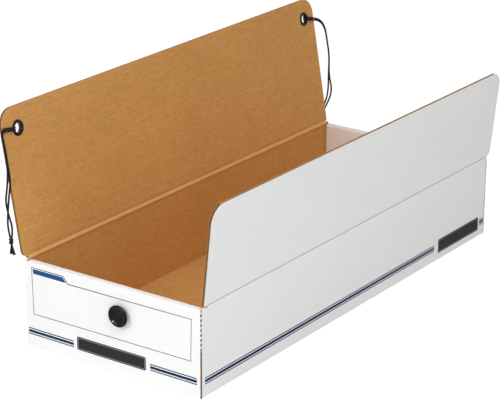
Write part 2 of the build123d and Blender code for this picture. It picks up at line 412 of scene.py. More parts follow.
@dataclass(frozen=True)
class KraftLiner:
    """The bare brown paper inside, streaked along the flutes and flecked."""

    light: Place = (0.80, 0.43, 0.145)
    shade: Place = (0.44, 0.215, 0.062)
    fleck: Place = (0.30, 0.135, 0.045)
    roughness: float = 0.88

    def material(self, name: str, lie: Lie) -> Material:
        """Makes the finish.

        Args:
            name: The material's name.
            lie: Where the board lies.

        Returns:
            The material.
        """
        tree = Tree(name)
        place, u, _, _ = tree.board_place(lie)
        washboard = tree.raised(tree.flute_wave(u))
        cloud = tree.grain(place, 7.0, 4.0, 0.55)
        streak = tree.grain(place, 260.0, 4.0, 0.62, 0.10)
        fibre = tree.grain(place, 1300.0, 3.0, 0.65, 0.22)
        mottle = tree.grain(place, 300.0, 3.0, 0.62, 0.45)
        terms = [(cloud, 0.4), (streak, 0.34), (mottle, 0.68), (fibre, 0.5)]
        share = tree.total(0.56, [*terms, (washboard, 0.05)])
        colour = tree.mix(share, self.shade, self.light)
        speck = tree.grain(place, 620.0, 1.0, along=0.35)
        speck = tree.calc("MULTIPLY", tree.ramp(speck, 0.66, 0.76), 0.22)
        colour = tree.mix(speck, colour, self.fleck)
        rough = tree.total(self.roughness, [(fibre, 0.1)])
        bumps = [(washboard, 0.035 * MM), (mottle, 0.05 * MM), (fibre, 0.05 * MM)]
        return tree.finish(colour, rough, bumps, 0.08)


@dataclass(frozen=True)
class FlutedCut:
    """A cut across the flutes: the wave of the middle paper between the liners, with
    painted shade in the open flutes.

    Args:
        pale_from: The u past which the cut is pale and pressed, with only the
            outer row of flutes still open.
    """

    pale_from: float = 9.0
    paper: Place = (0.42, 0.235, 0.10)
    # gap: painted shade, the dark of the open flute tunnels.
    gap: Place = (0.060, 0.030, 0.012)
    pale: Place = (0.86, 0.84, 0.81)
    # hollow_shade: painted shade in the open holes of the pressed outer flutes.
    hollow_shade: Place = (0.075, 0.033, 0.022)
    roughness: float = 0.92

    def material(self, name: str, lie: Lie) -> Material:
        """Makes the finish.

        Args:
            name: The material's name.
            lie: Where the board lies.

        Returns:
            The material.
        """
        tree = Tree(name)
        place, u, _, w = tree.board_place(lie)
        sine = tree.flute_wave(u)
        wave = tree.calc("MULTIPLY", sine, FLUTE_RISE)
        slope = 2 * math.pi * FLUTE_RISE / FLUTE_PITCH
        lean = tree.calc("MULTIPLY", tree.flute_wave(u, "COSINE"), slope)
        length = tree.calc("ADD", tree.calc("MULTIPLY", lean, lean), 1.0)
        away = tree.calc("ABSOLUTE", tree.calc("SUBTRACT", w, wave))
        away = tree.calc("DIVIDE", away, tree.calc("SQRT", length))
        middle = tree.ramp(away, 0.30 * MM, 0.18 * MM)
        liner = tree.ramp(tree.calc("ABSOLUTE", w), 1.02 * MM, 1.14 * MM)
        solid = tree.calc("MAXIMUM", middle, liner)
        fray = tree.grain(place, 2400.0, 2.0)
        # Painted shade where the flutes are open, paper where the middle paper and liners
        # stand.
        colour = tree.mix(solid, self.gap, self.paper)
        hole = tree.ramp(sine, -0.25, 0.2)
        skin = tree.ramp(tree.calc("ABSOLUTE", w), 1.36 * MM, 1.22 * MM)
        # Past pale_from: pale pressed paper with painted shade in the holes.
        pressed = tree.mix(tree.calc("MULTIPLY", hole, skin), self.pale, self.hollow_shade)
        above = tree.ramp(u, self.pale_from, self.pale_from + 3 * MM)
        colour = tree.mix(above, colour, pressed)
        # Fray noise pulls the colour a little towards the painted shade, at random.
        colour = tree.mix(tree.calc("MULTIPLY", fray, 0.15), colour, self.gap)
        bumps = [(solid, 0.35 * MM), (fray, 0.05 * MM)]
        return tree.finish(colour, self.roughness, bumps)


@dataclass(frozen=True)
class PressedCut:
    """A cut along the flutes: the two liners pressed nearly shut by the knife, with
    painted shade in the slit between them.
    """

    paper: Place = (0.43, 0.255, 0.12)
    # line: painted shade, the dark of the slit between the liners.
    line: Place = (0.18, 0.095, 0.045)
    roughness: float = 0.9

    def material(self, name: str, lie: Lie) -> Material:
        """Makes the finish.

        Args:
            name: The material's name.
            lie: Where the board lies.

        Returns:
            The material.
        """
        tree = Tree(name)
        place, _, _, w = tree.board_place(lie)
        wander = tree.grain(place, 260.0, 3.0, along=0.2)
        wander = tree.calc("MULTIPLY", tree.calc("SUBTRACT", wander, 0.5), 1.1 * MM)
        away = tree.calc("ABSOLUTE", tree.calc("ADD", w, wander))
        crack = tree.ramp(away, 0.55 * MM, 0.15 * MM)
        fray = tree.grain(place, 1900.0, 3.0, along=0.5)
        # Painted shade along the slit, which wanders with noise; fray noise darkens it a
        # little more at random.
        colour = tree.mix(crack, self.paper, self.line)
        colour = tree.mix(tree.calc("MULTIPLY", fray, 0.3), colour, self.line)
        bumps = [(crack, -0.25 * MM), (fray, 0.06 * MM)]
        return tree.finish(colour, self.roughness, bumps)


@dataclass(frozen=True)
class Core:
    """The paper inside the open flutes, dark with its own shade."""

    light: Place = (0.58, 0.34, 0.15)
    shade: Place = (0.36, 0.19, 0.08)

    def material(self, name: str, lie: Lie) -> Material:
        """Makes the finish.

        Args:
            name: The material's name.
            lie: Where the board lies.

        Returns:
            The material.
        """
        tree = Tree(name)
        place, _, _, _ = tree.board_place(lie)
        fibre = tree.grain(place, 1500.0, 3.0)
        colour = tree.mix(fibre, self.shade, self.light)
        return tree.finish(colour, 0.95, [(fibre, 0.04 * MM)])


BOARD_FINISHES = (WhiteLiner(), KraftLiner(), FlutedCut(), PressedCut(), Core())
CREASE_SHADE_AND_HIGHLIGHT = (
    # Painted shade for the outer score line: a grey white liner.
    WhiteLiner((0.50, 0.505, 0.51), (0.36, 0.365, 0.37)),
    # Painted highlight for the inner bulge below the crease: a bright kraft liner.
    KraftLiner((0.86, 0.49, 0.205), (0.64, 0.335, 0.125)),
)


@dataclass(frozen=True)
class Ink:
    """Flat printing ink that lets the paper's grain show faintly.

    Args:
        colour: The full ink.
        thin: Where it lies thin on the paper's high fibres.
    """

    colour: Place
    thin: Place
    roughness: float = 0.6

    def material(self, name: str) -> Material:
        """Makes the finish, the same wherever it is printed.

        Args:
            name: The material's name.

        Returns:
            The material.
        """
        tree = Tree(name)
        place = tree.spot()
        fibre = tree.grain(place, 1400.0, 3.0, 0.6)
        cloud = tree.grain(place, 40.0, 2.0)
        share = tree.total(0.22, [(fibre, 0.7), (cloud, 0.35)])
        colour = tree.mix(share, self.colour, self.thin)
        return tree.finish(colour, self.roughness, [(fibre, 0.02 * MM)], 0.12)


@dataclass(frozen=True)
class MouldedPlastic:
    """Black moulded plastic with a soft shine and a very fine skin."""

    light: Place = (0.009, 0.009, 0.010)
    shade: Place = (0.004, 0.004, 0.0045)
    roughness: float = 0.17

    def material(self, name: str) -> Material:
        """Makes the finish of a moulded part.

        Args:
            name: The material's name.

        Returns:
            The material.
        """
        tree = Tree(name)
        place = tree.spot()
        cloud = tree.grain(place, 130.0, 4.0)
        skin = tree.grain(place, 4200.0, 2.0)
        colour = tree.mix(cloud, self.shade, self.light)
        rough = tree.total(self.roughness, [(cloud, 0.12)])
        return tree.finish(colour, rough, [(skin, 0.006 * MM)])


@dataclass(frozen=True)
class Enamel:
    """Black enamel on a pressed steel eyelet, thin on its high rim."""

    colour: Place = (0.006, 0.006, 0.007)
    worn: Place = (0.045, 0.045, 0.048)
    roughness: float = 0.12

    def material(self, name: str) -> Material:
        """Makes the finish of an eyelet.

        Args:
            name: The material's name.

        Returns:
            The material.
        """
        tree = Tree(name)
        place = tree.spot()
        wear = tree.ramp(tree.grain(place, 420.0, 6.0, 0.7), 0.56, 0.72)
        colour = tree.mix(tree.calc("MULTIPLY", wear, 0.6), self.colour, self.worn)
        orange = tree.grain(place, 1800.0, 2.0)
        rough = tree.calc("ADD", tree.calc("MULTIPLY", wear, 0.2), self.roughness)
        return tree.finish(colour, rough, [(orange, 0.008 * MM)], 0.2)


@dataclass(frozen=True)
class BraidedCord:
    """Black braided string: its strands cross in two ways round it.

    Args:
        turns: How many times a strand goes round in the piece's length.
        strands: How many strands go each way.
    """

    turns: float = 30.0
    strands: int = 4
    light: Place = (0.018, 0.017, 0.017)
    shade: Place = (0.0035, 0.0035, 0.004)

    def material(self, name: str) -> Material:
        """Makes the finish of a cord, on the piece's own UV map.

        Args:
            name: The material's name.

        Returns:
            The material.
        """
        tree = Tree(name)
        uv = tree.add("TexCoord", {}).outputs["UV"]
        along, around, _ = tree.add("SeparateXYZ", {0: uv}).outputs
        around = tree.calc("MULTIPLY", around, float(self.strands))
        ways = []
        for turn in (self.turns, -self.turns):
            phase = tree.calc("ADD", tree.calc("MULTIPLY", along, turn), around)
            wave = tree.calc("SINE", tree.calc("MULTIPLY", phase, 2 * math.pi))
            ways.append(tree.raised(wave))
        braid = tree.calc("MAXIMUM", ways[0], ways[1])
        place = tree.spot()
        fuzz = tree.grain(place, 3200.0, 3.0, 0.7)
        share = tree.total(0.42, [(braid, 0.7), (fuzz, 0.7)])
        colour = tree.mix(share, self.shade, self.light)
        bumps = [(braid, 0.16 * MM), (fuzz, 0.06 * MM)]
        return tree.finish(colour, 0.75, bumps, sheen=(0.04, 0.5))


# ---- Mesh tools ----

DRESSED = "dressed"
SHARP_ANGLE = 32.0


def dress(bm: BMesh, face: BMFace, skin: Skin) -> None:
    """Gives a face its surface for good."""
    face.material_index = skin.value
    face[bm.faces.layers.int[DRESSED]] = 1


def new_piece(
    name: str, bm: BMesh, materials: Sequence[Material],
    nodes: Sequence[str] = (), body: str | None = "tray",
) -> Object:
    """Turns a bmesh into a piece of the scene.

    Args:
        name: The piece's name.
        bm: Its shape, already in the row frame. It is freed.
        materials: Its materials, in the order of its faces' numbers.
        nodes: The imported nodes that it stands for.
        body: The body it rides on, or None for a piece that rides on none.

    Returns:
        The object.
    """
    mesh = bpy.data.meshes.new(name)
    bm.to_mesh(mesh)
    bm.free()
    mesh.shade_smooth()
    mesh.set_sharp_from_angle(angle=math.radians(SHARP_ANGLE))
    for material in materials:
        mesh.materials.append(material)
    piece = bpy.data.objects.new(name, mesh)
    bpy.context.scene.collection.objects.link(piece)
    if nodes:
        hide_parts(*nodes)
    if body is not None:
        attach(piece, body)
    log.info("%s: %d faces, for %s", name, len(mesh.polygons), ", ".join(nodes) or "-")
    return piece


def oblong(u: Flat, v: Flat) -> list[Flat]:
    """The four corners between two values of u and two of v, in order."""
    return [(u[0], v[0]), (u[0], v[1]), (u[1], v[1]), (u[1], v[0])]


def bevel(
    bm: BMesh, geom: list, radius: float, segments: int, affect: str = "EDGES"
) -> list[BMFace]:
    """Rounds edges or corners.

    Args:
        bm: The shape.
        geom: The edges, or the corners' vertices.
        radius: The rounding.
        segments: How many faces each rounding has.
        affect: EDGES or VERTICES.

    Returns:
        The new faces.
    """
    return bmesh.ops.bevel(
        bm, geom=geom, offset=radius, segments=segments, profile=0.5,
        affect=affect, material=-1,
    )["faces"]


def extrude(bm: BMesh, way: Place) -> None:
    """Gives a flat shape its thickness along a way."""
    grown = bmesh.ops.extrude_face_region(bm, geom=bm.faces[:])
    far = [v for v in grown["geom"] if isinstance(v, BMVert)]
    bmesh.ops.translate(bm, verts=far, vec=way)


def turned(profile: Sequence[Flat], place: Matrix, steps: int = 72) -> BMesh:
    """A shape turned about an axis.

    Args:
        profile: Radius and height of each point in millimetres, closed by the
            axis or by itself.
        place: Turns the shape, made about +Z, into the row frame.
        steps: How many faces there are round it.

    Returns:
        The shape.
    """
    bm = bmesh.new()
    points = [bm.verts.new((r * MM, 0.0, h * MM)) for r, h in profile]
    edges = [bm.edges.new(pair) for pair in zip(points, points[1:])]
    bmesh.ops.spin(
        bm, geom=points + edges, axis=(0, 0, 1), cent=(0, 0, 0), angle=2 * math.pi,
        steps=steps, use_merge=True,
    )
    bmesh.ops.remove_doubles(bm, verts=bm.verts, dist=0.004 * MM)
    bmesh.ops.recalc_face_normals(bm, faces=bm.faces)
    bm.transform(place)
    return bm


@dataclass
class Sheet:
    """A flat piece of board or ink, in its board's own u and v.

    Args:
        corners: The corners of its outline in order, as u and v.
        radii: The rounding of some corners, by their number.
        holes: Round holes, as u, v and radius.
        thickness: From its lower to its upper face.
        middle: Where the middle of its thickness lies along w.
    """

    corners: Sequence[Flat]
    radii: Mapping[int, float] = field(default_factory=dict)
    holes: Sequence[Place] = ()
    thickness: float = BOARD
    middle: float = 0.0

    def build(self) -> BMesh:
        """Makes the sheet.

        Returns:
            A closed shape in the sheet's own places.
        """
        bm = bmesh.new()
        bm.faces.layers.int.new(DRESSED)
        low = self.middle - self.thickness / 2
        ring = [bm.verts.new((u, v, low)) for u, v in self.corners]
        bm.faces.new(ring)
        for number, radius in self.radii.items():
            segments = max(3, round(radius / (1.6 * MM)))
            bevel(bm, [ring[number]], radius, segments, "VERTICES")
        if self.holes:
            bmesh.ops.delete(bm, geom=bm.faces[:], context="FACES_ONLY")
            for u, v, radius in self.holes:
                place = Matrix.Translation((u, v, low))
                bmesh.ops.create_circle(bm, segments=40, radius=radius, matrix=place)
            bmesh.ops.triangle_fill(bm, use_beauty=True, edges=bm.edges[:])
        extrude(bm, (0, 0, self.thickness))
        bmesh.ops.recalc_face_normals(bm, faces=bm.faces[:])
        return bm


def round_edges(bm: BMesh, test: Callable[[Vector, Vector], bool], radius: float) -> None:
    """Rounds the edges whose two ends pass a test, in the printed surface.

    Args:
        bm: The shape.
        test: Says of an edge's two ends whether it is rounded.
        radius: The rounding.
    """
    edges = [e for e in bm.edges if test(e.verts[0].co, e.verts[1].co)]
    for face in bevel(bm, edges, radius, 5):
        dress(bm, face, Skin.WHITE)


def skin_faces(bm: BMesh) -> None:
    """Gives each undressed face of a board its surface.

    Args:
        bm: The board in its own places.
    """
    layer = bm.faces.layers.int[DRESSED]
    bm.normal_update()
    for face in bm.faces:
        if face[layer]:
            continue
        across, along, out = face.normal
        if out > 0.6:
            skin = Skin.WHITE
        elif out < -0.6:
            skin = Skin.KRAFT
        else:
            skin = Skin.FLUTED if abs(along) > 0.3 else Skin.PRESSED
        face.material_index = skin.value
    bm.faces.layers.int.remove(layer)


def open_flutes(bm: BMesh, face: BMFace) -> None:
    """Opens a straight cut across the flutes: the cut sinks between the
    liners, and the waved middle paper stands in it.

    Args:
        bm: A board in its own places.
        face: The flat cut face, which looks along the flutes.
    """
    depth, paper, shy = 2.2 * MM, 0.32 * MM, 0.06 * MM
    way = 1.0 if face.normal.y > 0 else -1.0
    cut = face.calc_center_median().y
    low = min(v.co.x for v in face.verts)
    high = max(v.co.x for v in face.verts)
    bmesh.ops.inset_individual(bm, faces=[face], thickness=LINER, use_even_offset=True)
    sunk = bmesh.ops.extrude_discrete_faces(bm, faces=[face])["faces"][0]
    bmesh.ops.translate(bm, verts=sunk.verts, vec=(0, -way * depth, 0))
    for wall in {sunk, *(f for e in sunk.edges for f in e.link_faces)}:
        dress(bm, wall, Skin.CORE)
    waves = (high - low) / FLUTE_PITCH
    steps = max(8, round(waves * 8))
    place = Matrix.Translation(((low + high) / 2, cut - way * (depth / 2 + 0.05 * MM), 0))
    place = place @ Matrix.Diagonal(((high - low) / 2 - LINER, depth / 2, 1, 1))
    ribbon = bmesh.ops.create_grid(
        bm, x_segments=steps, y_segments=1, size=1.0, matrix=place
    )["verts"]
    for vert in ribbon:
        crush = 1.0 + 0.16 * noise.noise(Vector((vert.co.x * 90, cut * 50, 0.3)))
        phase = 2 * math.pi * vert.co.x / FLUTE_PITCH
        vert.co.z = (FLUTE_RISE - shy) * crush * math.sin(phase)
    faces = list({f for v in ribbon for f in v.link_faces})
    grown = bmesh.ops.solidify(bm, geom=faces, thickness=paper)
    for part in list(grown["geom"]) + faces:
        if isinstance(part, BMFace):
            dress(bm, part, Skin.CORE)


class BoardShop:
    """Makes boards: their shapes in their own places, and their finishes."""

    def materials(self, name: str, lie: Lie) -> list[Material]:
        """Makes the five finishes of a board.

        Args:
            name: The board's name.
            lie: Where it lies.

        Returns:
            The finishes, in Skin's order.
        """
        made = []
        for skin, finish in zip(Skin, BOARD_FINISHES):
            made.append(finish.material(f"{name}_{skin.name.lower()}", lie))
        return made

    def board(
        self, name: str, bm: BMesh, lie: Lie, nodes: Sequence[str], body: str = "tray",
        materials: Sequence[Material] | None = None,
    ) -> Object:
        """Finishes a board made in its own places.

        Args:
            name: The piece's name.
            bm: The shape.
            lie: Where it lies.
            nodes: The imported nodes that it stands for.
            body: The body that it rides on.
            materials: Finishes shared with another board, if not its own.

        Returns:
            The piece.
        """
        skin_faces(bm)
        bm.transform(lie.matrix())
        dressed = materials or self.materials(name, lie)
        return new_piece(name, bm, dressed, nodes, body)


# ---- Print ----


@dataclass
class PanelPrint:
    """Plain print on a panel's outside: thin ink raised by a paper's width.

    Args:
        name: The start of its pieces' names.
        lie: Where the panel lies.
        body: The body that the panel is part of.
    """

    name: str
    lie: Lie
    body: str = "tray"
    lift: float = 0.03 * MM
    navy: Ink = Ink((0.001, 0.014, 0.055), (0.003, 0.024, 0.085))
    blue: Ink = Ink((0.006, 0.060, 0.21), (0.018, 0.09, 0.27))
    steel: Ink = Ink((0.002, 0.030, 0.095), (0.006, 0.05, 0.13))
    slate: Ink = Ink((0.009, 0.011, 0.015), (0.022, 0.025, 0.03))
    grey: Ink = Ink((0.30, 0.31, 0.32), (0.42, 0.43, 0.44))
    black: Ink = Ink((0.012, 0.012, 0.013), (0.028, 0.028, 0.030))

    def patch(
        self, word: str, ink: Ink, corners: Sequence[Flat],
        radii: Mapping[int, float] | None = None, layer: int = 1,
        line: float | None = None,
    ) -> None:
        """Prints one patch, or only its border.

        Args:
            word: The end of the piece's name.
            ink: Its ink.
            corners: Its outline in u and v.
            radii: The rounding of some corners.
            layer: How many layers of ink it stands on.
            line: The width of the border, where only that is printed.
        """
        top = BOARD / 2 + self.lift * layer
        sheet = Sheet(corners, radii or {}, (), self.lift, top - self.lift / 2)
        bm = sheet.build()
        if line is not None:
            flats = [f for f in bm.faces if abs(f.normal.z) > 0.9]
            bmesh.ops.inset_individual(bm, faces=flats, thickness=line)
            bmesh.ops.delete(bm, geom=flats, context="FACES")
            rims = [e for e in bm.edges if e.is_boundary]
            bmesh.ops.bridge_loops(bm, edges=rims)
            bmesh.ops.recalc_face_normals(bm, faces=bm.faces[:])
        bm.faces.layers.int.remove(bm.faces.layers.int[DRESSED])
        bm.transform(self.lie.matrix())
        name = f"{self.name}_{word}"
        new_piece(name, bm, [ink.material(name)], (), self.body)

    def bar(self, word: str, ink: Ink, u: float, width: float, v: Flat) -> None:
        """Prints a straight bar along the flutes, from one v to another."""
        self.patch(word, ink, oblong((u - width / 2, u + width / 2), v))

    def stripes(self, word: str, u: float, v: Flat) -> None:
        """Prints a thick line between two thin ones."""
        self.bar(f"{word}_thick", self.navy, u, 3.2 * MM, v)
        for side, end in ((-1, "low"), (1, "high")):
            self.bar(f"{word}_{end}", self.steel, u + side * 3.35 * MM, 1.35 * MM, v)

    def plate(self, word: str, u: Flat, v: Flat) -> None:
        """Prints a plain dark plate with a pale line inside its edge.

        Args:
            word: The end of its pieces' names.
            u: Its two sides across the flutes.
            v: Its two sides along the flutes.
        """
        self.patch(word, self.black, oblong(u, v), dict.fromkeys(range(4), 2.2 * MM))
        inset = 1.3 * MM
        u, v = (u[0] + inset, u[1] - inset), (v[0] + inset, v[1] - inset)
        radii = dict.fromkeys(range(4), 1.4 * MM)
        self.patch(f"{word}_line", self.grey, oblong(u, v), radii, 2, 0.5 * MM)


# ---- Tray ----


@dataclass
class Tray:
    """The bottom and the two long walls, folded from one board."""

    shop: BoardShop
    end_y: float = 302.0 * MM
    crease_short: float = 292.5 * MM
    fold_radius: float = 2.0 * MM
    crease_relief: float = 2.6 * MM
    slot_half: float = 35.3 * MM
    slot_in: float = 295.7 * MM
    slot_out: float = 299.3 * MM
    right_stripe_z: float = 18.7 * MM

    def wall_lie(self, side: Side) -> Lie:
        """Where a long wall lies, its u being the height above the table."""
        return Lie((side.value * CREASE_X, 0, 0), (0, 0, 1), (side.value, 0, 0))

    def strip_ends(self, side: Side) -> Flat:
        """The front and rear ends along Y of the crease between wall and flap."""
        long, short = self.end_y, self.crease_short
        return (-long, short) if side is Side.LEFT else (-short, long)

    def build_bottom(self) -> None:
        """The bottom board, with the slots that the inner ends' tabs lock into."""
        lie = Lie((0, 0, BOARD / 2), (1, 0, 0), (0, 0, -1))
        half = 118.2 * MM
        notch, low, high = self.slot_half, self.slot_in, self.slot_out
        bm = Sheet(oblong((-half, half), (-low, low))).build()
        for way in (-1, 1):
            beside = sorted((way * low, way * high))
            for span in ((-half, -notch), (notch, half)):
                self.join(bm, Sheet(oblong(span, beside)))
            past = sorted((way * high, way * self.end_y))
            self.join(bm, Sheet(oblong((-half, half), past)))
        self.shop.board("bottom_board", bm, lie, ["bottom_panel"])

    def join(self, bm: BMesh, sheet: Sheet) -> None:
        """Adds a sheet to a board that it meets edge to edge.

        Args:
            bm: The board.
            sheet: The sheet.
        """
        extra = sheet.build()
        mesh = bpy.data.meshes.new("join")
        extra.to_mesh(mesh)
        extra.free()
        bm.from_mesh(mesh)
        bpy.data.meshes.remove(mesh)

    def build_wall(self, side: Side, crease_z: float) -> list[Material]:
        """One long wall up to its crease, and the shoulder beyond the crease.

        Args:
            side: Which wall.
            crease_z: The height of its crease axis.

        Returns:
            The wall's finishes, for the crease to share.
        """
        lie = self.wall_lie(side)
        step, top = crease_z - CREASE_REACH, crease_z - BOARD / 2 - CREASE_PLAY
        # v runs along Y on the left wall and against it on the right wall.
        ends = [y * -side.value for y in self.strip_ends(side)]
        inner = min(ends, key=abs)
        way = 1.0 if inner > 0 else -1.0
        far = way * self.end_y
        corners = [(0, -far), (0, far), (top, far), (top, inner), (step, inner)]
        bm = Sheet([*corners, (step, -far)]).build()
        high, out = top - HAIR, BOARD / 2 - HAIR
        relief, fold = self.crease_relief, self.fold_radius
        round_edges(bm, lambda a, b: min(a.x, b.x) > high and min(a.z, b.z) > out, relief)
        round_edges(
            bm, lambda a, b: max(a.x, b.x) < 0.01 * MM and min(a.z, b.z) > out, fold
        )
        name = f"{side.word}_wall_board"
        finishes = self.shop.materials(name, lie)
        self.shop.board(name, bm, lie, [f"{side.word}_side_wall"], "tray", finishes)
        self.print_wall(side, lie)
        return finishes

    def print_wall(self, side: Side, lie: Lie) -> None:
        """Prints the stripes and the plain plate low on a long wall.

        Args:
            side: Which wall.
            lie: Where it lies.
        """
        ink = PanelPrint(f"{side.word}_wall_print", lie)
        u = self.right_stripe_z
        # The photographed side reads from its front end; the other one follows it.
        places = [(-296.8, 178.5), (290.8, 301.2)]
        for number, (front, rear) in enumerate(places, start=1):
            v = sorted((-front * MM, -rear * MM))
            ink.stripes(f"stripe_{number}", u, (v[0], v[1]))
        ink.plate("plate", (9.3 * MM, 27.3 * MM), (-288.0 * MM, -188.0 * MM))


# ---- Rolled ends ----


@dataclass
class RolledEnd:
    """An end of three plies: the outer panel, the corner flap and the inner
    panel, which the outer one rolls over the top to become."""

    shop: BoardShop
    end: End
    strip_half: float = 117.2 * MM
    strip_gap: float = 0.03 * MM
    tab_half: float = 35.0 * MM
    foot_relief: float = 0.8 * MM
    fold_radius: float = 2.0 * MM
    crease_relief: float = 2.6 * MM
    crown_radius: float = 1.6 * MM
    roll_radius: float = 1.5 * MM
    roll_cuts: int = 58
    roll_swell: float = 0.16 * MM

    def lie(self, ply: int, outside: int = 1) -> Lie:
        """Where a ply lies, its u being the height and its v, at the front,
        running against X.

        Args:
            ply: 0 for the outer ply, 1 for the middle one, 2 for the inner one.
            outside: 1 where the printed face looks out, -1 where it looks in.

        Returns:
            Where it lies.
        """
        way = self.end.value
        y = way * (HALF_LENGTH - BOARD * (ply + 0.5))
        return Lie((0, y, 0), (0, 0, 1), (0, way * outside, 0))

    def build(self) -> None:
        """All the plies and the print of this end."""
        word = self.end.word
        lie = self.lie(0)
        half, low, top = HALF_WIDTH, PLY_HEIGHT, END_HEIGHT
        gap, tab, foot = self.strip_half + self.strip_gap, self.tab_half, self.foot_relief
        # The fold is where v is most: at the left of the front end, and half a
        # turn from there at the rear. Beside it the panel is as high as its wall.
        crease_z = LEFT_CREASE_Z if self.end is End.FRONT else RIGHT_CREASE_Z
        fold_top = crease_z - BOARD / 2 - CREASE_PLAY
        corners = [(foot, -half), (foot, -tab), (0, -tab), (0, tab), (foot, tab)]
        corners += [(foot, half), (fold_top, half), (fold_top, gap), (low, gap)]
        corners += [(low, -gap), (top, -gap), (top, -half)]
        bm = Sheet(corners).build()
        out, edge = BOARD / 2 - HAIR, half - HAIR
        relief, fold, crown = self.crease_relief, self.fold_radius, self.crown_radius
        high = fold_top - HAIR
        round_edges(
            bm, lambda a, b: min(a.y, b.y) > edge and min(a.x, b.x) > high, relief
        )
        round_edges(bm, lambda a, b: min(a.y, b.y) > edge and min(a.z, b.z) > out, fold)
        round_edges(
            bm,
            lambda a, b: max(a.y, b.y) < -gap + HAIR
            and min(a.x, b.x) > top - HAIR
            and min(a.z, b.z) > out,
            crown,
        )
        for face in bm.faces:
            if face.normal.x > 0.5 and face.calc_center_median().x > low + 1 * MM:
                dress(bm, face, Skin.WHITE)
        name = f"{word}_outer_board"
        finishes = self.shop.materials(name, lie)
        pale = FlutedCut(54 * MM).material(f"{name}_pale_cut", lie)
        finishes[Skin.FLUTED.value] = pale
        self.shop.board(name, bm, lie, [f"{word}_outer_panel"], "tray", finishes)
        self.build_roll(finishes)
        self.build_inner()
        self.build_corner_flap()
        self.print_end(lie)

    def build_roll(self, finishes: Sequence[Material]) -> None:
        """Makes the strip that rolls over the top, rounded at its two creases.

        Args:
            finishes: The outer panel's finishes.
        """
        word, way = self.end.word, self.end.value
        low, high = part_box(f"{word}_top_strip")
        size, centre = high - low, (low + high) / 2
        place = Matrix.Translation(centre) @ Matrix.Diagonal((*size, 1))
        bm = bmesh.new()
        bmesh.ops.create_cube(bm, size=1.0, matrix=place)
        top = high.z - 0.01 * MM
        long_edges = [
            e
            for e in bm.edges
            if min(v.co.z for v in e.verts) > top
            and abs(e.verts[0].co.y - e.verts[1].co.y) < 0.01 * MM
        ]
        bevel(bm, long_edges, self.roll_radius, 6)
        runs = [e for e in bm.edges if abs(e.verts[0].co.x - e.verts[1].co.x) > 0.1]
        bmesh.ops.subdivide_edges(bm, edges=runs, cuts=self.roll_cuts)
        for vert in bm.verts:
            if vert.co.z > PLY_HEIGHT + 0.5 * MM and abs(vert.co.x) < 117 * MM:
                swell = noise.noise(Vector((vert.co.x * 34, vert.co.y * 60, 2.0 + way)))
                vert.co.z -= self.roll_swell * (0.5 + swell)
        bmesh.ops.recalc_face_normals(bm, faces=bm.faces[:])
        for face in bm.faces:
            cut = abs(face.normal.x) > 0.8
            under = face.normal.z < -0.8
            skin = Skin.FLUTED if cut else Skin.KRAFT if under else Skin.WHITE
            face.material_index = skin.value
        name = f"{word}_top_roll"
        new_piece(name, bm, finishes, [f"{word}_top_strip"])

    def build_inner(self) -> None:
        """The inner ply, its printed face inwards, with its lock tab below."""
        lie = self.lie(2, -1)
        half, tab = self.strip_half, self.tab_half
        corners = [(BOARD, -half), (BOARD, -tab), (0.3 * MM, -tab + 1.5 * MM)]
        corners += [(0.3 * MM, tab - 1.5 * MM), (BOARD, tab), (BOARD, half)]
        bm = Sheet([*corners, (PLY_HEIGHT, half), (PLY_HEIGHT, -half)]).build()
        name = f"{self.end.word}_inner_board"
        self.shop.board(name, bm, lie, [f"{self.end.word}_inner_panel"])

    def build_corner_flap(self) -> None:
        """The middle ply, folded in from a long wall."""
        low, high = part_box(f"{self.end.word}_corner_flap")
        lie = self.lie(1)
        # v runs against X at the front and along it at the rear.
        sign = self.end.value
        v = sorted((sign * low.x, sign * high.x))
        bm = Sheet(oblong((low.z, high.z), v)).build()
        name = f"{self.end.word}_corner_board"
        self.shop.board(name, bm, lie, [f"{self.end.word}_corner_flap"])

    def print_end(self, lie: Lie) -> None:
        """Prints the frame for a contents label, the blank bar on its tab, and
        the stripes either side of a plain plate.

        Args:
            lie: Where the outer panel lies.
        """
        ink = PanelPrint(f"{self.end.word}_print", lie)
        frame = [(-110.0, 40.5), (-111.6, 97.0), (-65.7, 97.0), (-58.9, 89.4)]
        frame += [(110.0, 90.4), (109.0, 41.3)]
        corners = [(z * MM, -x * MM) for x, z in frame]
        ink.patch("frame", ink.slate, corners, {2: 2 * MM}, 1, 1.1 * MM)
        bar = [(-109.0, 89.6), (-109.8, 95.2), (-66.6, 95.2), (-61.6, 89.6)]
        ink.patch("tab_bar", ink.blue, [(z * MM, -x * MM) for x, z in bar])
        z = 19.3 * MM
        ink.stripes("stripe_1", z, (52.6 * MM, 118.0 * MM))
        ink.stripes("stripe_2", z + 0.7 * MM, (-116.7 * MM, -53.7 * MM))
        ink.plate("plate", (14.0 * MM, 30.0 * MM), (-48.0 * MM, 48.0 * MM))


# ---- Lid flaps ----


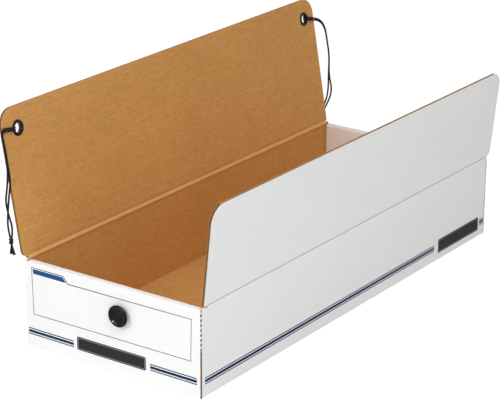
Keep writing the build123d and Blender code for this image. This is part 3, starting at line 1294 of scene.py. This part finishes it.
@dataclass
class LidFlap:
    """A lid flap standing open on its crease, and the crease itself.

    Args:
        side: The long side that it is hinged on.
        crease_z: The height of its crease axis.
        width: From the crease axis to its free edge.
        lean: How far it leans out, in degrees.
        front: Its front end along Y.
        rear: Its rear end along Y.
        holes: Its eyelet holes, as height above the crease, Y and radius.
    """

    shop: BoardShop
    side: Side
    crease_z: float
    width: float
    lean: float
    front: float
    rear: float
    holes: Sequence[Place] = ()
    free_radius: float = 20.0 * MM
    overhang_radius: float = 7.5 * MM
    setback_radius: float = 3.0 * MM
    crease_cuts: int = 84
    dent: float = 0.22 * MM
    dent_reach: float = 4.5 * MM

    def lie(self) -> Lie:
        """Finds where the flap lies.

        Returns:
            The lie, its u being the distance from the crease axis.
        """
        turn = math.radians(self.lean)
        way = self.side.value
        across = (way * math.sin(turn), 0, math.cos(turn))
        outside = (way * math.cos(turn), 0, -math.sin(turn))
        return Lie((way * CREASE_X, 0, self.crease_z), across, outside)

    def build(self, strip: Flat, wall: Sequence[Material]) -> None:
        """The flap board and its crease.

        Args:
            strip: The front and rear ends along Y of the crease.
            wall: The finishes of the wall that it is hinged on.
        """
        lie, word = self.lie(), self.side.word
        # v runs along Y on the left flap and against it on the right flap.
        sign = -self.side.value
        corners = [(CREASE_REACH, strip[0]), (0, strip[0]), (0, self.front)]
        corners += [(self.width, self.front), (self.width, self.rear), (0, self.rear)]
        corners += [(0, strip[1]), (CREASE_REACH, strip[1])]
        corners = [(u, sign * y) for u, y in corners]
        far = self.free_radius
        radii = {2: self.low_radius(self.front), 3: far, 4: far}
        radii[5] = self.low_radius(self.rear)
        holes = [(u, sign * y, radius) for u, y, radius in self.holes]
        bm = Sheet(corners, radii, holes).build()
        ends = [
            f
            for f in bm.faces
            if abs(f.normal.y) > 0.99 and f.calc_area() > 60 * MM * BOARD
        ]
        for face in ends:
            open_flutes(bm, face)
        body = f"{word}_lid"
        name = f"{word}_flap_board"
        self.shop.board(name, bm, lie, [f"{word}_lid_flap"], body)
        self.build_crease(strip, wall)

    def low_radius(self, end: float) -> float:
        """The rounding beside the crease at the flap's end at this Y."""
        return self.overhang_radius if abs(end) > HALF_LENGTH else self.setback_radius

    def crease_profile(self) -> list[Flat]:
        """The crease's section: how far inwards and how far up from the axis.

        Returns:
            Points from the outside below, up over the flap, and down inside.
        """
        half = BOARD / MM / 2
        outer = [(-half, -6.0), (-half, -4.4), (-half, -3.0), (-half, -1.9)]
        outer += [(-half, -1.25), (-1.32, -0.65), (-0.92, 0.0), (-1.30, 0.6)]
        outer += [(-half, 1.15), (-half, 1.9), (-half, 3.0), (-half, 4.4), (-half, 6.0)]
        inner = [(half, 6.0), (half, 4.4), (half, 3.2), (1.46, 2.2), (1.32, 1.4)]
        inner += [(1.12, 0.75), (1.10, 0.3), (1.5, -0.2), (2.1, -0.9)]
        inner += [(2.65, -1.7), (2.95, -2.6), (2.85, -3.5), (2.4, -4.3)]
        inner += [(1.85, -5.0), (half, -5.6), (half, -6.0)]
        points = []
        turn = math.radians(self.lean)
        for inwards, up in outer + inner:
            if up > 0:
                inwards, up = (
                    inwards * math.cos(turn) - up * math.sin(turn),
                    inwards * math.sin(turn) + up * math.cos(turn),
                )
            points.append((inwards * MM, up * MM))
        return points

    def build_crease(self, strip: Flat, wall: Sequence[Material]) -> None:
        """Makes the scored strip of board that bends between wall and flap.

        Args:
            strip: Its front and rear ends along Y.
            wall: The wall's finishes.
        """
        way = self.side.value
        bm = bmesh.new()
        ring = []
        for inwards, up in self.crease_profile():
            place = (way * (CREASE_X - inwards), strip[0], self.crease_z + up)
            ring.append(bm.verts.new(place))
        bm.faces.new(ring)
        extrude(bm, (0, strip[1] - strip[0], 0))
        runs = [e for e in bm.edges if abs(e.verts[0].co.y - e.verts[1].co.y) > 0.1]
        bmesh.ops.subdivide_edges(bm, edges=runs, cuts=self.crease_cuts)
        bmesh.ops.recalc_face_normals(bm, faces=bm.faces[:])
        for vert in bm.verts:
            up = abs(vert.co.z - self.crease_z)
            if up < self.dent_reach:
                spot = Vector((vert.co.y * 26, vert.co.z * 120, 4.0 + way))
                depth = noise.noise(spot) * (1 - up / self.dent_reach)
                vert.co.x += way * self.dent * depth
        for face in bm.faces:
            up = face.calc_center_median().z - self.crease_z
            inside = (face.calc_center_median().x * way) < CREASE_X + self.outset(face)
            if abs(face.normal.y) > 0.8:
                skin = Skin.FLUTED
            elif inside:
                # Painted highlight: the inside from 5.2 mm below to 0.2 mm above the
                # crease takes the bright kraft.
                skin = Skin.BULGE_HIGHLIGHT if -5.2 * MM < up < 0.2 * MM else Skin.KRAFT
            else:
                # Painted shade: the outside within 0.7 mm of the crease takes the grey
                # score finish.
                skin = Skin.SCORE_SHADE if abs(up) < 0.7 * MM else Skin.WHITE
            face.material_index = skin.value
        name = f"{self.side.word}_crease_board"
        lie = self.lie()
        finishes = [*wall]
        # The crease's two extra finishes are painted light: shade for the score, a
        # highlight for the bulge.
        for number, finish in enumerate(CREASE_SHADE_AND_HIGHLIGHT):
            finishes.append(finish.material(f"{name}_fold_{number}", lie))
        piece = new_piece(name, bm, finishes, (), None)
        lie.point(5.4 * MM, 0)
        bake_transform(piece)

    def outset(self, face: BMFace) -> float:
        """How far out of the crease axis the board's middle is at a face."""
        up = face.calc_center_median().z - self.crease_z
        return max(up, 0.0) * math.tan(math.radians(self.lean))


# ---- Closures ----


@dataclass
class ClosureButton:
    """A moulded button on one end: its dished cap, post and backing disc."""

    end: End
    x: float = 14.1 * MM
    z: float = 71.0 * MM
    standoff: float = 3.4 * MM
    plastic: MouldedPlastic = MouldedPlastic()

    def place(self, height: float) -> Matrix:
        """+Z turned to look out of the end, from that far out of its panel."""
        way = self.end.value
        turn = Matrix.Rotation(math.radians(-90 * way), 4, "X")
        return Matrix.Translation((self.x, way * (HALF_LENGTH + height), self.z)) @ turn

    def build(self) -> None:
        """The three pieces of the button."""
        cap = [(0, 0), (10.9, 0), (11.8, 0.12), (12.4, 0.5), (12.6, 1.05), (12.6, 1.6)]
        cap += [(12.46, 2.2), (12.1, 2.66), (11.6, 2.93), (11.1, 3.0), (10.6, 2.92)]
        cap += [(10.15, 2.66), (9.6, 2.24), (9.0, 1.78), (8.4, 1.42), (7.6, 1.14)]
        cap += [(6.4, 0.96), (4.6, 0.88), (3.0, 0.86), (2.6, 0.9), (2.3, 1.14)]
        cap += [(1.9, 1.22), (1.2, 1.2), (1.0, 1.02), (0.6, 0.96), (0, 0.96)]
        post = [(0, 0.3), (5.6, 0.3), (5.5, 0.0), (4.9, -0.35), (4.6, -0.9)]
        post += [(4.5, -1.7), (4.6, -2.5), (4.9, -3.05), (5.4, -3.4), (3.0, -3.4)]
        post += [(3.0, -8.1), (0, -8.1)]
        backing = [(3.05, 0), (9.4, 0), (9.85, 0.25), (10.0, 0.8), (9.75, 1.4)]
        backing += [(9.2, 1.74), (8.4, 1.8), (7.6, 1.6), (6.8, 1.3), (4.6, 1.3)]
        backing += [(4.3, 1.6), (3.7, 1.78), (3.05, 1.8), (3.05, 0)]
        out = self.place(self.standoff)
        inwards = self.place(-BOARD) @ Matrix.Rotation(math.pi, 4, "X")
        parts = (("cap", cap, out), ("post", post, out), ("backing", backing, inwards))
        for part, profile, place in parts:
            name = f"{self.end.word}_button_{part}"
            finish = self.plastic.material(f"{name}_plastic")
            bm = turned(profile, place)
            new_piece(f"{name}_turned", bm, [finish], [name])


@dataclass
class Eyelet:
    """A pressed eyelet through the left flap, and the washer outside it.

    Args:
        end: The end of the box that it is near.
        flap: Where the flap lies.
        y: Its place along the flap.
        reach: Its distance from the crease axis.
    """

    end: End
    flap: Lie
    y: float
    reach: float
    enamel: Enamel = Enamel()

    def build(self) -> None:
        """The eyelet, with its rolled rim inside, and its washer."""
        place = self.flap.matrix() @ Matrix.Translation((self.reach, self.y, 0))
        inwards = place @ Matrix.Rotation(math.pi, 4, "X")
        rim = [(5.6, -2.35), (5.6, 1.5), (5.66, 2.0), (5.86, 2.4), (6.25, 2.63)]
        rim += [(6.8, 2.7), (7.5, 2.62), (8.2, 2.4), (8.8, 2.06), (9.14, 1.74)]
        rim += [(9.18, 1.56), (9.05, 1.52), (6.24, 1.52), (6.2, -1.5), (6.25, -2.3)]
        rim += [(6.0, -2.4), (5.7, -2.4), (5.6, -2.35)]
        washer = [(6.3, 1.5), (8.6, 1.5), (8.6, 1.75), (8.46, 2.1), (8.1, 2.3)]
        washer += [(7.6, 2.38), (6.9, 2.3), (6.3, 2.1), (6.3, 1.5)]
        parts = (("eyelet", rim, inwards), ("eyelet_washer", washer, place))
        for part, profile, way in parts:
            name = f"{self.end.word}_{part}"
            bm = turned(profile, way, 56)
            finish = self.enamel.material(f"{name}_enamel")
            new_piece(f"{name}_turned", bm, [finish], [name], "left_lid")


@dataclass
class ClosureCord:
    """A closure cord: caught round the flap between eyelet and edge, with two
    strands hanging to a knot and its tails.

    Args:
        end: The end of the box that it hangs at.
        flap: Where the flap lies.
        edge: The flap's end along Y.
        inset: How far the eyelet is from that end.
        strand_a: The route of the upper strand, in millimetres.
        strand_b: The route of the lower strand, in millimetres.
        knot: The knot's middle, in millimetres.
        tails: The tips of the two tails, in millimetres.
        lengths: The lengths of the two strands, in metres. Not used.
        rise: How much higher the loop crosses the flap's edge than it leaves
            the eyelet.
    """

    end: End
    flap: Lie
    edge: float
    inset: float
    strand_a: Sequence[Place]
    strand_b: Sequence[Place]
    knot: Place
    tails: Sequence[Place]
    lengths: Flat
    rise: float
    diameter: float = 2.2 * MM
    reach: float = 141.5 * MM
    pitch: float = 2.6 * MM
    threads: int = 31

    def tube(
        self, name: str, points: Sequence[Vector], radius: float, finish: Material,
        taper: Sequence[float] = (),
    ) -> Object:
        """A round tube on a smooth line.

        Args:
            name: The piece's name.
            points: The line's control points, in metres.
            radius: The tube's radius.
            finish: Its material.
            taper: Each point's share of the radius, if not all of it.

        Returns:
            The curve.
        """
        curve = bpy.data.curves.new(name, "CURVE")
        curve.dimensions = "3D"
        curve.bevel_depth = radius
        curve.bevel_resolution = 5
        curve.resolution_u = 10
        curve.use_fill_caps = True
        spline = curve.splines.new("NURBS")
        spline.points.add(len(points) - 1)
        for number, (target, point) in enumerate(zip(spline.points, points)):
            target.co = (*point, 1.0)
            target.radius = taper[number] if taper else 1.0
        spline.order_u = 3
        spline.use_endpoint_u = True
        curve.materials.append(finish)
        piece = bpy.data.objects.new(name, curve)
        bpy.context.scene.collection.objects.link(piece)
        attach(piece, "left_lid")
        log.info("%s: %d points", name, len(points))
        return piece

    def flap_point(self, inwards: float, outwards: float, up: float) -> Vector:
        """A place by the flap's edge.

        Args:
            inwards: Out of the flap's middle towards the inside of the box.
            outwards: Past the flap's end.
            up: Above the eyelets' height.

        Returns:
            The place in the row frame.
        """
        y = self.edge + self.end.value * outwards
        return self.flap.point(self.reach + up, y, -inwards)

    def build(self) -> None:
        """The caught loop, the two strands, the knot and the tails."""
        word = self.end.word
        near, far, half = 2.95 * MM, 4.35 * MM, self.pitch / 2
        hole, rise = -(self.inset - 3.9 * MM), self.rise
        line = [(near, -3.0 * MM, rise), (far, hole, 0.0), (-far, hole, 0.0)]
        line.append((-near, -1.6 * MM, rise))
        route = [self.flap_point(i, o, up + half) for i, o, up in line]
        route += [self.flap_point(i, o, up - half) for i, o, up in reversed(line)]
        finish = BraidedCord(26.0).material(f"{word}_hitch_cord")
        hitch = self.tube(f"{word}_cord_caught", route, self.diameter / 2, finish)
        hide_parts(f"{word}_cord_hitch")
        knot = self.build_knot()
        strands = (("a", self.strand_a, half), ("b", self.strand_b, -half))
        for (letter, places, up), length in zip(strands, self.lengths):
            start = self.flap_point(near, -3.0 * MM, rise + up)
            points = [start, *(Vector(place) * MM for place in places)]
            finish = BraidedCord(34.0).material(f"{word}_strand_{letter}_cord")
            name = f"{word}_cord_fall_{letter}"
            piece = self.tube(name, points, self.diameter / 2, finish)
            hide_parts(f"{word}_cord_strand_{letter}")

    def build_knot(self) -> list[Object]:
        """The knot, turned on itself, and its two frayed tails.

        Returns:
            The pieces.
        """
        word = self.end.word
        centre = Vector(self.knot) * MM
        finish = BraidedCord(16.0).material(f"{word}_knot_cord")
        turns = []
        for step in range(19):
            t = 2 * math.pi * step / 18 + 0.4
            x = (math.sin(t) + 2 * math.sin(2 * t)) * 0.80
            y = -1.35 * math.sin(3 * t)
            z = (math.cos(t) - 2 * math.cos(2 * t)) * 0.98
            turns.append(centre + Vector((x, y, z)) * MM)
        knot = self.tube(f"{word}_cord_knot_turns", turns, 1.05 * MM, finish)
        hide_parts(f"{word}_cord_knot")
        pieces = [knot]
        for number, tip in enumerate(self.tails, start=1):
            end = Vector(tip) * MM
            bow = Vector((0.7 if number == 1 else -0.6, 0, 0)) * MM
            points = [centre, centre.lerp(end, 0.35) + bow, centre.lerp(end, 0.7)]
            points.append(centre.lerp(end, 0.86))
            name = f"{word}_cord_tail_{number}"
            taper = (1.0, 1.05, 1.25, 1.4)
            pieces.append(self.tube(name, points, 1.05 * MM, finish, taper))
            pieces.append(self.fray(f"{name}_fray", points[-1], end, finish))
        return pieces

    def fray(self, name: str, start: Vector, tip: Vector, finish: Material) -> Object:
        """The loose threads at a tail's cut end, as one piece.

        Args:
            name: The piece's name.
            start: Where the tail's round part ends.
            tip: The tail's tip.
            finish: Its material.

        Returns:
            The piece.
        """
        bm = bmesh.new()
        way = tip - start
        side = way.orthogonal().normalized()
        for thread in range(self.threads):
            turn = Matrix.Rotation(GOLDEN_TURN * thread, 3, way)
            spread = 1.25 * math.sqrt((thread + 0.5) / self.threads)
            out = (turn @ side) * spread * MM
            foot = start + out * 0.85 - way.normalized() * 0.4 * MM
            reach = way * (0.7 + 0.3 * abs(math.sin(3.1 * thread)))
            head = start + reach + out * 1.45
            line = head - foot
            bmesh.ops.create_cone(
                bm, cap_ends=True, segments=6, radius1=0.32 * MM, radius2=0.2 * MM,
                depth=line.length, matrix=facing((foot + head) / 2, line, "Z"),
            )
        return new_piece(name, bm, [finish], (), "left_lid")


# ---- Studio ----


@dataclass
class Studio:
    """The camera, the pale floor and the soft lamps."""

    eye: Place = (1.32049, -1.91100, 0.96202)
    right: Place = (0.81543, 0.57884, 0.0044)
    down: Place = (0.20301, -0.27884, -0.93863)
    ahead: Place = (-0.54209, 0.76628, -0.34489)
    lens: float = 150.12
    sky: float = 0.42

    def build(self) -> None:
        """Everything round the box."""
        self.build_camera()
        self.build_floor()
        self.build_world()
        self.lamp("key_lamp", (-0.7, -2.3, 1.5), (0, -0.1, 0.1), 1.5, 31.0)
        self.lamp("side_lamp", (1.9, -1.1, 1.0), (0, -0.1, 0.1), 1.2, 7.5)
        self.lamp("top_lamp", (1.0, -0.9, 2.1), (0, 0.0, 0.1), 0.9, 17.0)
        glint = self.lamp("glint_lamp", (0.17, -2.15, 0.87), (0, -0.3, 0.1), 0.26, 60.0)
        glint.visible_diffuse = False
        bpy.context.scene.view_settings.view_transform = "Standard"

    def build_camera(self) -> None:
        """The camera where the photograph was taken from."""
        camera = bpy.data.cameras.new("camera")
        camera.lens = self.lens
        camera.sensor_width = 36.0
        camera.sensor_fit = "HORIZONTAL"
        camera.clip_start = 0.05
        camera.clip_end = 60.0
        holder = bpy.data.objects.new("camera", camera)
        up, back = (tuple(-a for a in way) for way in (self.down, self.ahead))
        columns = (self.right, up, back)
        turn = Matrix(columns).transposed()
        quaternion = turn.to_quaternion().normalized()
        place = Matrix.Translation(self.eye) @ quaternion.to_matrix().to_4x4()
        holder.matrix_world = place
        bpy.context.scene.collection.objects.link(holder)
        bpy.context.scene.camera = holder

    def build_floor(self) -> None:
        """A pale floor that takes the box's shadow and fades to white."""
        bm = bmesh.new()
        bmesh.ops.create_grid(bm, x_segments=1, y_segments=1, size=9.0)
        mesh = bpy.data.meshes.new("floor")
        bm.to_mesh(mesh)
        bm.free()
        floor = bpy.data.objects.new("floor", mesh)
        bpy.context.scene.collection.objects.link(floor)
        tree = Tree("floor")
        sight = tree.add("LightPath", {})
        seen = sight.outputs["Is Camera Ray"]
        for name in ("Is Glossy Ray", "Is Transmission Ray"):
            seen = tree.calc("MAXIMUM", seen, sight.outputs[name])
        pale = tree.add("BsdfDiffuse", {"Color": (0.86, 0.86, 0.86)})
        thin = tree.add("BsdfDiffuse", {"Color": (0.34, 0.34, 0.34)})
        glow = tree.add("Emission", {"Color": (1.0, 1.0, 1.0), "Strength": 0.82})
        lit = tree.add("AddShader", {0: thin.outputs[0], 1: glow.outputs[0]})
        mixed = tree.add("MixShader", {0: seen, 1: pale.outputs[0], 2: lit.outputs[0]})
        output = tree.add("OutputMaterial", {})
        tree.links.new(mixed.outputs[0], output.inputs[0])
        mesh.materials.append(tree.material)

    def build_world(self) -> None:
        """A white surround for the eye and for gloss, and a softer sky for light."""
        world = bpy.data.worlds.new("studio")
        world.use_nodes = True
        nodes, links = world.node_tree.nodes, world.node_tree.links
        nodes.clear()
        sight = nodes.new("ShaderNodeLightPath")
        seen = sight.outputs["Is Camera Ray"]
        for name in ("Is Glossy Ray", "Is Transmission Ray"):
            step = nodes.new("ShaderNodeMath")
            step.operation = "MAXIMUM"
            links.new(seen, step.inputs[0])
            links.new(sight.outputs[name], step.inputs[1])
            seen = step.outputs[0]
        spread = nodes.new("ShaderNodeMapRange")
        links.new(seen, spread.inputs[0])
        spread.inputs[3].default_value = self.sky
        spread.inputs[4].default_value = 1.0
        sky = nodes.new("ShaderNodeBackground")
        sky.inputs[0].default_value = (1, 1, 1, 1)
        links.new(spread.outputs[0], sky.inputs[1])
        output = nodes.new("ShaderNodeOutputWorld")
        links.new(sky.outputs[0], output.inputs[0])
        bpy.context.scene.world = world

    def lamp(
        self, name: str, place: Place, aim: Place, size: float, power: float
    ) -> Object:
        """A soft square lamp.

        Args:
            name: Its name.
            place: Where it hangs.
            aim: The point that it looks at.
            size: Its side.
            power: Its power in watts.

        Returns:
            The lamp.
        """
        light = bpy.data.lights.new(name, "AREA")
        light.size = size
        light.energy = power
        holder = bpy.data.objects.new(name, light)
        holder.matrix_world = facing(place, Vector(aim) - Vector(place), "-Z")
        bpy.context.scene.collection.objects.link(holder)
        return holder


# ---- The box ----

# The strands' routes past the flap's edge, in millimetres
FRONT_A = (
    (-141.6, -313.8, 251.0), (-137.4, -313.8, 236.0), (-132.6, -313.8, 210.0),
    (-134.8, -313.8, 187.0), (-138.1, -313.8, 171.0), (-134.2, -313.8, 156.0),
    (-128.3, -313.8, 141.0), (-131.6, -313.2, 127.6),
)
FRONT_B = (
    (-142.6, -311.2, 249.0), (-138.6, -311.2, 234.6), (-134.2, -311.2, 209.0),
    (-131.9, -311.2, 194.0), (-135.4, -311.2, 174.0), (-138.2, -311.2, 150.0),
    (-138.0, -311.2, 137.0), (-134.4, -311.9, 127.6),
)
REAR_A = (
    (-140.9, 311.4, 240.9), (-133.4, 313.9, 229.4), (-130.9, 315.0, 212.0),
    (-129.6, 319.2, 190.0), (-129.0, 317.6, 165.0), (-128.4, 326.0, 141.0),
    (-131.6, 319.4, 123.0), (-135.0, 316.2, 115.2),
)
REAR_B = (
    (-143.4, 313.5, 238.5), (-134.9, 315.8, 228.2), (-132.3, 317.0, 211.0),
    (-131.0, 321.2, 189.0), (-131.4, 320.6, 165.5), (-132.6, 322.6, 141.0),
    (-134.9, 320.2, 124.5), (-138.3, 316.6, 115.2),
)


def main() -> None:
    """Builds the box and the studio round it."""
    logging.basicConfig(level=logging.INFO, format="%(name)s: %(message)s")
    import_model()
    Studio().build()

    shop = BoardShop()
    eyelet_reach, bore = 141.5 * MM, 6.3 * MM
    eyelets = {End.FRONT: -283.8 * MM, End.REAR: 277.0 * MM}
    left = LidFlap(
        shop, Side.LEFT, LEFT_CREASE_Z, 166.6 * MM, 10.02, -309.6 * MM, 298.5 * MM,
        [(eyelet_reach, y, bore) for y in eyelets.values()],
    )
    right = LidFlap(
        shop, Side.RIGHT, RIGHT_CREASE_Z, 114.2 * MM, 5.9, -298.5 * MM, 309.6 * MM
    )

    front_cord = ClosureCord(
        End.FRONT, left.lie(), -309.6 * MM, 25.8 * MM, FRONT_A, FRONT_B,
        (-132.9, -312.6, 125.0), ((-133.6, -312.5, 109.8), (-129.0, -312.5, 109.4)),
        (0.1321, 0.1271), 2.8 * MM,
    )
    rear_cord = ClosureCord(
        End.REAR, left.lie(), 298.5 * MM, 21.5 * MM, REAR_A, REAR_B,
        (-136.5, 315.0, 112.5), ((-137.2, 313.6, 97.4), (-133.9, 317.0, 98.2)),
        (0.1466, 0.145), -3.8 * MM,
    )
    front_cord.build()
    rear_cord.build()

    tray = Tray(shop)
    tray.build_bottom()
    for flap in (left, right):
        finishes = tray.build_wall(flap.side, flap.crease_z)
        flap.build(tray.strip_ends(flap.side), finishes)
    for end in End:
        RolledEnd(shop, end).build()
        ClosureButton(end).build()
        Eyelet(end, left.lie(), eyelets[end], eyelet_reach).build()


if __name__ == "__main__":
    main()
